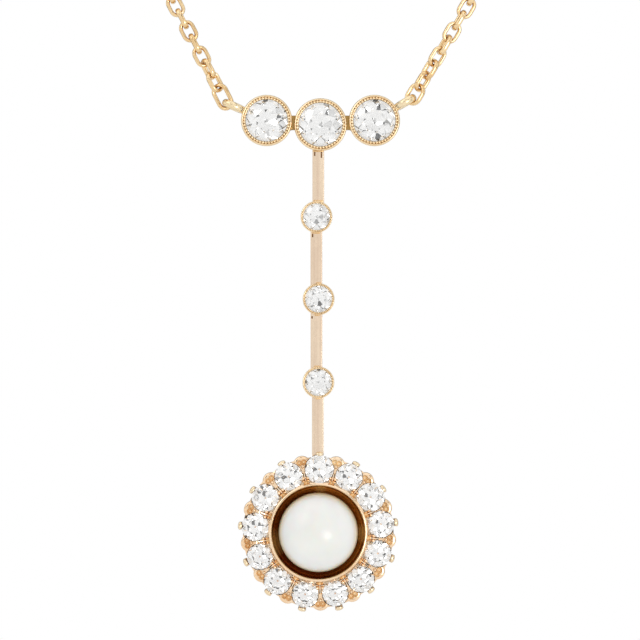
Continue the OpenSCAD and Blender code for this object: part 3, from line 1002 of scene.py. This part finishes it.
cut_stone = old_cut()
print("one cut stone:", len(cut_stone.data.polygons), "facets")

# %% [markdown]
# Diamond bends light strongly and lets all of it through, so the shader is clear glass
# with diamond's index. What looks grey or black in a stone is the darker part of the
# room, thrown back by its facets. A faint uneven tint keeps the stones from being equal.

# %% Diamond
DIAMOND_INDEX, TINT_CLOUDS = 2.4, 300.0


def diamond():
    material, tree, shader, place = new_material("diamond")
    tint = noise(tree, place, TINT_CLOUDS)
    look = {
        "Transmission Weight": 1.0,
        "Roughness": 0.0,
        "IOR": DIAMOND_INDEX,
        "Base Color": tones(tree, tint, (0.97, 0.965, 0.95), (1.0, 1.0, 0.99)),
    }
    plug(tree, shader, look)
    return material


clear_stone = diamond()
print("stones of", clear_stone.name)

# %% [markdown]
# Each stone is set at the size and place of its own seat. Giving every one another turn
# makes them sparkle at different spots, as stones set by hand do.

# %% Set the stones
SIDE_TURN, BAR_TURN, RING_TURN = 11, 14, 17


def in_collet(d, form):
    return d / 2 - form["rim"] + form["cover"]


def set_stone(name, node, r, place, turn):
    piece = copy_of(cut_stone, place @ turned_by("Z", turn) @ Matrix.Scale(r, 4))
    piece.name = name
    return finish(piece, [clear_stone], "diamond", [node], smooth=1)


mid_r, side_r = in_collet(MID_D, ROW_FORM), in_collet(SIDE_D, ROW_FORM)
small_r = in_collet(SMALL_D, SMALL_FORM)
set_stone("old_cut_middle", "stone_mid", mid_r, Matrix.Identity(4), 0)
for side, word in ((LEFT, "left"), (RIGHT, "right")):
    place = moved(side * ROW_PITCH, ROW_RISE)
    set_stone(f"old_cut_{word}", f"stone_{word}", side_r, place, side * SIDE_TURN)
for number, (x, y) in enumerate(SMALL_PLACES):
    name, node = f"old_cut_bar_{number + 1}", f"stone_bar_{number + 1}"
    set_stone(name, node, small_r, moved(x, y), number * BAR_TURN)
for number, (angle, size) in enumerate(zip(RING_ANGLES, RING_SIZES)):
    name, node = f"old_cut_ring_{number + 1}", f"stone_ring_{number + 1}"
    set_stone(name, node, size * RING_STONE_R, at_seat(angle), number * RING_TURN)
bpy.data.objects.remove(cut_stone)

# %% [markdown]
# A pearl's lustre comes from thin layers, which the shader has as a film, over a body
# that scatters light a little way in. Down in the cup the brown of the gold is painted
# onto the pearl as a reflection, so its colour goes over to a warm cast with depth.

# %% Pearl finish
PEARL_R, PEARL_H = 3.56, 1.0
PEARL_CLOUDS, PEARL_WEAR, PEARL_SKIN, SKIN_DEPTH = 260.0, 900.0, 1400.0, 0.00001
CUP_REFLECTION_FROM, CUP_REFLECTION_TO = 1.8, 0.5


def pearl_finish():
    material, tree, shader, place = new_material("pearl_lustre")
    clouds = noise(tree, place, PEARL_CLOUDS)
    body = tones(tree, clouds, (0.75, 0.75, 0.715), (0.82, 0.81, 0.785))
    depth = add_node(tree, "ShaderNodeSeparateXYZ", {0: place}).outputs["Y"]
    front, low = (DROP.y - (PEARL_H + h) * MM for h in (CUP_REFLECTION_FROM, CUP_REFLECTION_TO))
    # Painted reflection of the cup's brown gold on the pearl, warmer with depth.
    cup_reflection = tones(tree, spread(tree, depth, front, low), CLEAR, (0.9, 0.74, 0.45), span=(0, 1))
    look = {
        "Base Color": mixed(tree, body, cup_reflection),
        "Roughness": levels(tree, noise(tree, place, PEARL_WEAR), 0.3, 0.42),
        "Subsurface Weight": 0.25,
        "Subsurface Scale": 0.0006,
        "Coat Weight": 0.8,
        "Coat Roughness": 0.24,
        "Thin Film Thickness": 380.0,
        "Thin Film IOR": 1.45,
        "Normal": tool_marks(tree, place, PEARL_SKIN, SKIN_DEPTH, strength=0.2),
    }
    plug(tree, shader, look)
    return material


pearl_lustre = pearl_finish()
print("pearl of", pearl_lustre.name)

# %% [markdown]
# A pearl is never a perfect ball. A fine sphere is pushed about very slightly by a soft
# cloud texture, and the texture is applied. Below it stands the peg it is fixed on.

# %% Pearl and peg
def round_pearl():
    put_away()
    bpy.ops.mesh.primitive_uv_sphere_add(segments=96, ring_count=48, radius=PEARL_R)
    pearl = bpy.context.object
    pearl.name = "round_pearl"
    skin = bpy.data.textures.new("Pearl skin", "CLOUDS")
    skin.noise_scale = 2.6
    push = pearl.modifiers.new("Skin", "DISPLACE")
    push.texture = skin
    push.strength = 0.05
    bpy.ops.object.modifier_apply(modifier=push.name)
    bpy.data.textures.remove(skin)
    pearl.matrix_world = AT_CUP @ moved(0, 0, PEARL_H)
    return finish(pearl, [pearl_lustre], "pearl", ["pearl"], smooth=180)


round_pearl()
PEG = [(0, CUP_BACK + 0.05, 0.4), (0, -1.2, 0.4), (0, -1.1, 0.3)]
peg = drawn_post("pearl_peg", PEG, sides=24)
peg.matrix_world = AT_CUP
finish(peg, [rose_gold], *MOUNT)

# %% [markdown]
# The chain follows one line on each side: straight up from the drop, over the shoulder
# in a bend, a short run back and then round the nape. The line is worked out from the
# same sizes as the solid model, so every link lands where its solid is.

# %% The line of the chain
NECK_R, SHOULDER_RUN, SHOULDER_R = 53, 10, 28
CHAIN_SLOPE = {LEFT: math.radians(62.6), RIGHT: math.radians(59.2)}
X, Y, Z = Vector((1, 0, 0)), Vector((0, 1, 0)), Vector((0, 0, 1))


def up(side):
    return side * math.cos(CHAIN_SLOPE[side]) * X + math.sin(CHAIN_SLOPE[side]) * Z


def line_start(side):
    ring_slope = math.radians(RING_SLOPE[side])
    aside = side * (ROW_PITCH + RING_REACH * math.cos(ring_slope))
    return DROP / MM + Vector((aside, 0, ROW_RISE + RING_REACH * math.sin(ring_slope)))


def straight_l(side):
    return -line_start(side).z / math.sin(CHAIN_SLOPE[side]) - SHOULDER_R


def whole_line(side):
    return straight_l(side) + (SHOULDER_R + NECK_R) * math.pi / 2 + SHOULDER_RUN


print("line of the chain:", round(whole_line(LEFT), 1), "and", round(whole_line(RIGHT), 1), "mm")

# %% [markdown]
# For any length along the line, this gives the point there, the way the chain runs and
# the way out from the neck. A link is then placed on the line with a turn about it.

# %% Places on the line
def on_line(side, s):
    straight = straight_l(side)
    bend_end = straight + SHOULDER_R * math.pi / 2
    if s <= straight:
        return line_start(side) + s * up(side), up(side), -Y
    if s <= bend_end:
        a = (s - straight) / SHOULDER_R
        start = line_start(side) + straight * up(side)
        point = start + SHOULDER_R * (math.sin(a) * up(side) + (1 - math.cos(a)) * Y)
        along = math.cos(a) * up(side) + math.sin(a) * Y
        return point, along, math.sin(a) * up(side) - math.cos(a) * Y
    if s <= bend_end + SHOULDER_RUN:
        return Vector((side * NECK_R, -NECK_R - SHOULDER_RUN + s - bend_end, 0)), Y, up(side)
    a = (s - bend_end - SHOULDER_RUN) / NECK_R
    out = side * math.cos(a) * X + math.sin(a) * Y
    along = math.cos(a) * Y - side * math.sin(a) * X
    away = math.cos(CHAIN_SLOPE[side]) * out + math.sin(CHAIN_SLOPE[side]) * Z
    return NECK_R * out - NECK_R * Y, along, away


def place_on_line(side, s, turn):
    point, along, out = on_line(side, s)
    across = along.cross(out)
    face = math.cos(math.radians(turn)) * out + math.sin(math.radians(turn)) * across
    place = Matrix((along.cross(face), along, face)).transposed().to_4x4()
    place.translation = point
    return place


# %% [markdown]
# A link is a wire bent to a long oval. Its cross-section is a small circle, spun half
# round, drawn straight, spun again and drawn back to its start, and the whole link is
# pressed a little deeper than wide. The first links hang where the camera is near and
# get a rounder wire. The rest have only a few dozen faces.

# %% One link
WIRE, LINK_L, LINK_W, PLAY, DEEPER = 0.35, 1.39, 0.76, 0.11, 1.36
END_LINK_L, END_LINK_W, RING_HOLD = {LEFT: 1.9, RIGHT: 1.5}, 0.94, 0.37


def link(name, inner_l, inner_w, steps, sides):
    put_away()
    bend_r = (inner_w + WIRE) / 2
    side_l = inner_l - inner_w
    bpy.ops.mesh.primitive_circle_add(
        vertices=sides,
        radius=WIRE / 2,
        location=(bend_r, side_l / 2, 0),
        rotation=(math.radians(90), 0, 0),
    )
    open_mesh()
    for end in (1, -1):
        middle = (0, end * side_l / 2, 0)
        bpy.ops.mesh.spin(steps=steps, angle=-math.pi, center=middle, axis=(0, 0, 1))
        extrude(0, -end * side_l, 0)
    bpy.ops.mesh.select_all(action="SELECT")
    resize(1, 1, DEEPER)
    made = close_mesh()
    made.name = name
    return fix_place(made)


NEAR, FAR = {"steps": 12, "sides": 12}, {"steps": 5, "sides": 7}
near_link = link("near_link", LINK_L, LINK_W, **NEAR)
end_links = {
    side: link("end_link", END_LINK_L[side], END_LINK_W, **NEAR) for side in (LEFT, RIGHT)
}
far_link = link("far_link", LINK_L, LINK_W, **FAR)
size = tuple(round(v, 2) for v in near_link.dimensions)
print("link:", size, len(near_link.data.polygons), "faces")

# %% [markdown]
# The links are strung on the line like beads, each turned a quarter against the last.
# The lowest ones hang a little askew, as they lie in the picture. The links keep even
# steps between the first one, which holds the drop's ring, and the eye of the clasp.

# %% Where each link hangs
FULL_PITCH, MODEL_SECOND_AT = LINK_L - PLAY, 1.775
LOW_TURNS = {LEFT: [-27, 44, 116, 194, 272], RIGHT: [-27, 50, 132, 212, 292, 376, 460, 544]}
EYE_R, EYE_WIRE, LEAST_CLASP = 0.6, 0.5, 3.1
EYE_TO_LINK = LINK_L / 2 - EYE_WIRE / 2 - PLAY


def steps_to_clasp(side):
    free = whole_line(side) - LEAST_CLASP - MODEL_SECOND_AT - EYE_TO_LINK
    return math.floor(free / FULL_PITCH)


def last_at(side):
    return MODEL_SECOND_AT + steps_to_clasp(side) * FULL_PITCH


def link_at(side, n):
    first = END_LINK_L[side] / 2 - RING_HOLD
    second = first + (END_LINK_L[side] + LINK_L) / 2 - PLAY
    return first if n == 1 else second + (n - 2) * (last_at(side) - second) / steps_to_clasp(side)


def turn_of(side, n):
    low = LOW_TURNS[side]
    return low[n - 1] if n <= len(low) else 90 * (n - 2)


print("links:", [steps_to_clasp(side) + 2 for side in (LEFT, RIGHT)])

# %% [markdown]
# Above the lowest links every turn gets a small random sway, from a generator with a
# fixed seed, so that the chain comes out the same each time.

# %% String the links
FRONT_LINKS, NEAR_LINKS, SWAY = 110, 16, 4
hand = random.Random(11)


def string_links(name, side, first, last, node):
    links = []
    for n in range(first, last + 1):
        pattern = end_links[side] if n == 1 else near_link if n <= NEAR_LINKS else far_link
        sway = hand.uniform(-SWAY, SWAY) if n > len(LOW_TURNS[side]) else 0
        place = place_on_line(side, link_at(side, n), turn_of(side, n) + sway)
        links.append(copy_of(pattern, place))
    strung = join(links, name)
    return finish(strung, [yellow_gold], "yellow_gold", [node], TO_METRES, smooth=60)


for side, word in ((LEFT, "left"), (RIGHT, "right")):
    last = steps_to_clasp(side) + 2
    string_links(f"links_{word}", side, 1, FRONT_LINKS, f"chain_{word}")
    string_links(f"back_links_{word}", side, FRONT_LINKS + 1, last, f"chain_back_{word}")
for pattern in (near_link, far_link, *end_links.values()):
    bpy.data.objects.remove(pattern)

# %% [markdown]
# The clasp is out of sight in the nape, so it is kept plain: a wire ring with a small
# eye at each side that holds the last link.

# %% Clasp
CLASP_WIRE, EYE_STEP = 0.8, 0.15


def eye_at(side):
    return last_at(side) + EYE_TO_LINK


def clasp():
    left_eye, right_eye = (on_line(side, eye_at(side))[0] for side in (LEFT, RIGHT))
    ring_r = (right_eye - left_eye).x / 2 - 2 * EYE_R - EYE_STEP
    ring = wire_ring(ring_r, CLASP_WIRE, 64, 16)
    ring.matrix_world = moved(*(left_eye + right_eye) / 2) @ turned_by("X", 90)
    parts = [ring]
    for side in (LEFT, RIGHT):
        eye = wire_ring(EYE_R, EYE_WIRE, 32, 12)
        turn = turn_of(side, steps_to_clasp(side) + 1)
        eye.matrix_world = place_on_line(side, eye_at(side) + EYE_R, turn)
        parts.append(eye)
    joined = join(parts, "clasp_ring")
    return finish(joined, [yellow_gold], "yellow_gold", ["clasp"], TO_METRES, smooth=60)


clasp()

# %% [markdown]
# The picture was taken against plain white with soft light from all round. The camera
# sees a white room. What the gold and the stones mirror is the same room with darker
# parts: the wall behind the necklace, the floor, the space round the camera, and
# patches made by a noise, which stand for whatever else is in a room.

# %% The room
FRONT_TO_BACK = [(-1.0, 0.86), (-0.99, 0.88), (-0.97, 1.0), (0.35, 1.0), (0.7, 0.6), (1.0, 0.4)]
FLOOR_TO_ROOF = [(-1.0, 0.72), (-0.4, 0.92), (0.0, 1.06), (0.5, 1.12), (1.0, 1.18)]
PATCHES, PATCH_SCALE = [(0.34, 0.06), (0.38, 1.0)], 3.6


def greys(tree, driver, stops):
    return ramp(tree, driver, [(at, (grey, grey, grey)) for at, grey in stops])


def across_room(tree, axis, stops):
    return greys(tree, spread(tree, axis, -1, 1), [((at + 1) / 2, grey) for at, grey in stops])


def studio_world():
    world = bpy.data.worlds.new("Studio")
    bpy.context.scene.world = world
    world.use_nodes = True
    tree = world.node_tree
    tree.nodes.clear()
    place = add_node(tree, "ShaderNodeTexCoord").outputs["Generated"]
    axes = add_node(tree, "ShaderNodeSeparateXYZ", {0: place}).outputs
    front = across_room(tree, axes["Y"], FRONT_TO_BACK)
    height = across_room(tree, axes["Z"], FLOOR_TO_ROOF)
    patches = greys(tree, noise(tree, place, PATCH_SCALE, detail=0.0), PATCHES)
    walls = mixed(tree, mixed(tree, front, height), patches)
    mirrored = add_node(tree, "ShaderNodeBackground", {"Color": walls}).outputs[0]
    seen = add_node(tree, "ShaderNodeBackground", {"Color": (1, 1, 1, 1)}).outputs[0]
    to_camera = add_node(tree, "ShaderNodeLightPath").outputs["Is Camera Ray"]
    room = add_node(tree, "ShaderNodeMixShader", {0: to_camera, 1: mirrored, 2: seen}).outputs[0]
    add_node(tree, "ShaderNodeOutputWorld", {"Surface": room})


studio_world()
bpy.context.scene.view_settings.view_transform = "Standard"
print("room:", bpy.context.scene.world.name)

# %% [markdown]
# The floor lies well below the necklace, as under a stand. It is pale paint near the
# middle and goes over into the white of the room further out, so that it shows no edge.

# %% Floor
FLOOR_BELOW, FLOOR_R, FADE_FROM, FADE_TO, PAINT_CLOUDS = 0.3, 1.0, 0.1, 0.55, 3.0


def floor_paint():
    material, tree, shader, place = new_material("pale_floor")
    clouds = noise(tree, place, PAINT_CLOUDS)
    paint = tones(tree, clouds, (0.86, 0.86, 0.86), (0.9, 0.9, 0.9))
    plug(tree, shader, {"Base Color": paint, "Roughness": 0.9})
    flat = add_node(tree, "ShaderNodeMapping", {"Vector": place, "Scale": (1, 1, 0)})
    reach = vector_math(tree, "LENGTH", flat.outputs["Vector"])
    fade = spread(tree, reach, FADE_FROM, FADE_TO)
    white = add_node(tree, "ShaderNodeEmission").outputs[0]
    blend = add_node(tree, "ShaderNodeMixShader", {0: fade, 1: shader.outputs[0], 2: white})
    plug(tree, tree.nodes["Material Output"], {"Surface": blend.outputs[0]})
    return material


floor_h = cad_low.z - FLOOR_BELOW
put_away()
bpy.ops.mesh.primitive_circle_add(
    vertices=96, radius=FLOOR_R, fill_type="NGON", location=(0, 0, floor_h)
)
floor = painted(fix_place(bpy.context.object), floor_paint())
floor.name = "floor"
floor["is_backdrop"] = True
print("floor at", round(floor_h, 3), "m")

# %% [markdown]
# One soft lamp in front, a little to the right, gives the pearl its small bright patch.
# A weaker one from the left lifts the shade. The room itself does the rest.

# %% Lights
KEY_AWAY, KEY_TURN, KEY_DOWN, KEY_SIZE, KEY_POWER = 0.6, math.radians(27), 0.1, 0.2, 0.68
FILL_PLACE, FILL_SIZE, FILL_POWER = (-0.4, -0.35, 0.25), 0.3, 0.25
DROP_MIDDLE_H = -17


def soft_light(name, place, size, power, aim):
    light = bpy.data.lights.new(name, "AREA")
    light.shape = "SQUARE"
    light.size = size
    light.energy = power
    lamp = bpy.data.objects.new(name, light)
    bpy.context.collection.objects.link(lamp)
    lamp.location = place
    lamp.rotation_euler = (aim - Vector(place)).to_track_quat("-Z", "Y").to_euler()
    return lamp


drop_middle = DROP + Vector((0, 0, DROP_MIDDLE_H * MM))
pearl_front = DROP + Vector((CLUSTER[0], -PEARL_H, CLUSTER[1])) * MM
key_way = Vector((math.sin(KEY_TURN), -math.cos(KEY_TURN), -KEY_DOWN))
soft_light("key_light", pearl_front + KEY_AWAY * key_way, KEY_SIZE, KEY_POWER, pearl_front)
soft_light("fill_light", FILL_PLACE, FILL_SIZE, FILL_POWER, drop_middle)

# %% [markdown]
# The camera looks straight along the row's front, level, with a long lens. The photo's
# middle is a point on the bar, and its width covers 57.6 mm in the drop's own plane.

# %% Camera
PHOTO_PIXELS, PIXEL_MM = 640, 0.09
PHOTO_CENTRE = Vector((-0.045, 0, -17.58))
LENS, SENSOR = 200, 36
camera = bpy.data.cameras.new("camera")
camera.lens = LENS
camera.sensor_width = SENSOR
camera.clip_start = 0.01
camera.clip_end = 10
distance = PHOTO_PIXELS * PIXEL_MM * MM * LENS / SENSOR
eye = bpy.data.objects.new("camera", camera)
bpy.context.collection.objects.link(eye)
eye.location = DROP + PHOTO_CENTRE * MM - Vector((0, distance, 0))
eye.rotation_euler = (math.radians(90), 0, 0)
bpy.context.scene.camera = eye
print("the camera stands", round(distance, 3), "m away")

# %% [markdown]
# Last, the box of all that is made here is printed, as the box of the solid model was
# at the start.

# %% Print the sizes
low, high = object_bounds()
print("dressed model from", tuple(low), "to", tuple(high))
